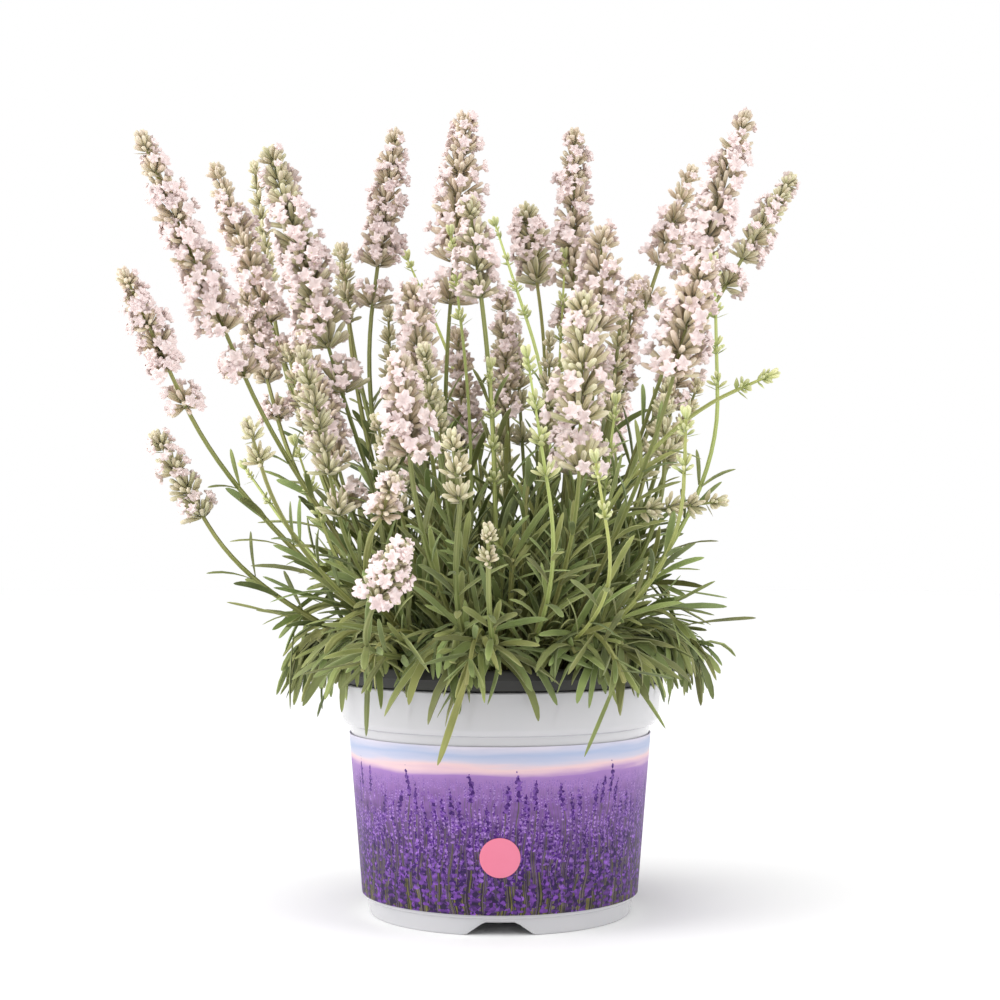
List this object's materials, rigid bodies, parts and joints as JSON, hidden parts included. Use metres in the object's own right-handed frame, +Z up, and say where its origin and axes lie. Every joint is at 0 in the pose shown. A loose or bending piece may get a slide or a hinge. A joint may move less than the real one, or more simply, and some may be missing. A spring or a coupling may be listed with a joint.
{
  "type": "potted lavender",
  "caption": "Lavender in bloom in a black grow pot inside a white pot with a printed sleeve: arching stems with pale flower spikes over a ruff of narrow sage leaves.",
  "frame": {"origin": "under the middle of the pot, on the surface that it stands on", "axes": "+Z up; -Y towards the front, where the sticker is; +X to the right as seen from the front"},
  "size_m": [0.2688, 0.2545, 0.3241],
  "materials": {
    "gloss_white": "smooth glossy moulding",
    "sleeve_print": "satin print of a lavender field under a pale sky",
    "sticker_pink": "satin",
    "black_plastic": "matte, lightly scuffed",
    "peat": "moist crumbs",
    "bark": "rough",
    "pale_bloom": "soft petals on ribbed calyces",
    "green_bud": "soft",
    "lime_bud": "soft",
    "sage_leaf": "downy matte leaf"
  },
  "bodies": {
    "root": {"bloom_stem_01": "pale_bloom", "bloom_stem_02": "pale_bloom", "bloom_stem_03": "pale_bloom", "bloom_stem_04": "pale_bloom", "bloom_stem_05": "pale_bloom", "bloom_stem_06": "pale_bloom", "bloom_stem_07": "pale_bloom", "bloom_stem_08": "pale_bloom", "bloom_stem_09": "pale_bloom", "bloom_stem_10": "pale_bloom", "bloom_stem_11": "pale_bloom", "bloom_stem_12": "pale_bloom", "bloom_stem_13": "pale_bloom", "bloom_stem_14": "pale_bloom", "bloom_stem_15": "pale_bloom", "bloom_stem_16": "pale_bloom", "bloom_stem_17": "pale_bloom", "bloom_stem_18": "pale_bloom", "bloom_stem_19": "pale_bloom", "bloom_stem_20": "pale_bloom", "bloom_stem_21": "pale_bloom", "bloom_stem_22": "pale_bloom", "bud_stem_01": "green_bud", "bud_stem_02": "green_bud", "bud_stem_03": "green_bud", "bud_stem_04": "green_bud", "bud_stem_05": "green_bud", "bud_stem_06": "green_bud", "bud_stem_07": "green_bud", "bud_stem_08": "green_bud", "bud_stem_09": "green_bud", "bud_stem_10": "green_bud", "bud_stem_11": "green_bud", "grow_pot": "black_plastic", "leafy_shoot_01": "sage_leaf", "leafy_shoot_02": "sage_leaf", "leafy_shoot_03": "sage_leaf", "leafy_shoot_04": "sage_leaf", "leafy_shoot_05": "sage_leaf", "leafy_shoot_06": "sage_leaf", "leafy_shoot_07": "sage_leaf", "leafy_shoot_08": "sage_leaf", "leafy_shoot_09": "sage_leaf", "leafy_shoot_10": "sage_leaf", "leafy_shoot_11": "sage_leaf", "leafy_shoot_12": "sage_leaf", "leafy_shoot_13": "sage_leaf", "potting_mix": "peat", "printed_sleeve": "sleeve_print", "round_sticker": "sticker_pink", "white_pot": "gloss_white", "woody_crown": "bark", "young_stem_01": "lime_bud", "young_stem_02": "lime_bud", "young_stem_03": "lime_bud", "young_stem_04": "lime_bud", "young_stem_05": "lime_bud", "young_stem_06": "lime_bud", "young_stem_07": "lime_bud", "young_stem_08": "lime_bud"}
  },
  "joints": []
}
